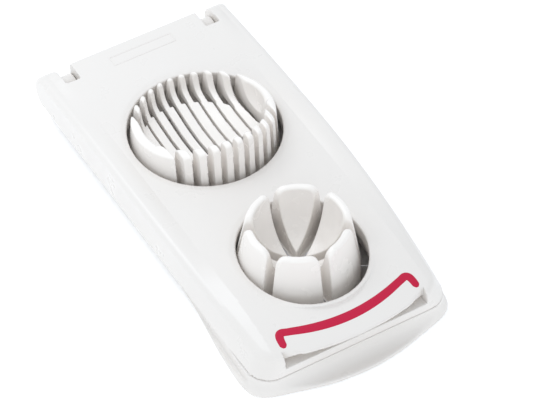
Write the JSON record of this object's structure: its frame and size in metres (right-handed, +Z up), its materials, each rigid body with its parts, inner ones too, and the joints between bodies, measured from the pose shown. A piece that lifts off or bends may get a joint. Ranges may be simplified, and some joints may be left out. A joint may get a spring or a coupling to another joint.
{
  "type": "egg slicer",
  "caption": "Hinged two-way egg slicer: a wire-strung lid closes over a ribbed slicing cradle and a petalled wedge cup on a base tray with a thumb lip.",
  "frame": {"origin": "middle of the footprint, on the base tray's underside", "axes": "+X from the hinge to the grip, +Y across the lid, +Z up through the cradle and the cup"},
  "size_m": [0.2114, 0.1028, 0.0446],
  "materials": {
    "white_plastic": "satin gloss moulded plastic",
    "crimson_plastic": "smooth crimson plastic",
    "wire_steel": "drawn stainless wire",
    "pin_steel": "turned stainless pin"
  },
  "bodies": {
    "base": {"base_tray": "white_plastic", "slicer_cradle": "white_plastic", "wedge_cup": "white_plastic", "hinge_pin_left": "pin_steel", "hinge_pin_right": "pin_steel"},
    "lid": {"lid_cover": "white_plastic", "grip_accent": "crimson_plastic", "slicer_wire_frame": "white_plastic", "wedge_wire_frame": "white_plastic", "slicing_wire_01": "wire_steel", "slicing_wire_02": "wire_steel", "slicing_wire_03": "wire_steel", "slicing_wire_04": "wire_steel", "slicing_wire_05": "wire_steel", "slicing_wire_06": "wire_steel", "slicing_wire_07": "wire_steel", "slicing_wire_08": "wire_steel", "slicing_wire_09": "wire_steel", "slicing_wire_10": "wire_steel", "wedge_wire_01": "wire_steel", "wedge_wire_02": "wire_steel", "wedge_wire_03": "wire_steel"}
  },
  "joints": [
    {"name": "lid_hinge", "type": "hinge", "parent": "base", "child": "lid", "pos_m": [-0.0967, 0, 0.0165], "axis": [0, -1, 0], "range_deg": [0, 100]}
  ]
}
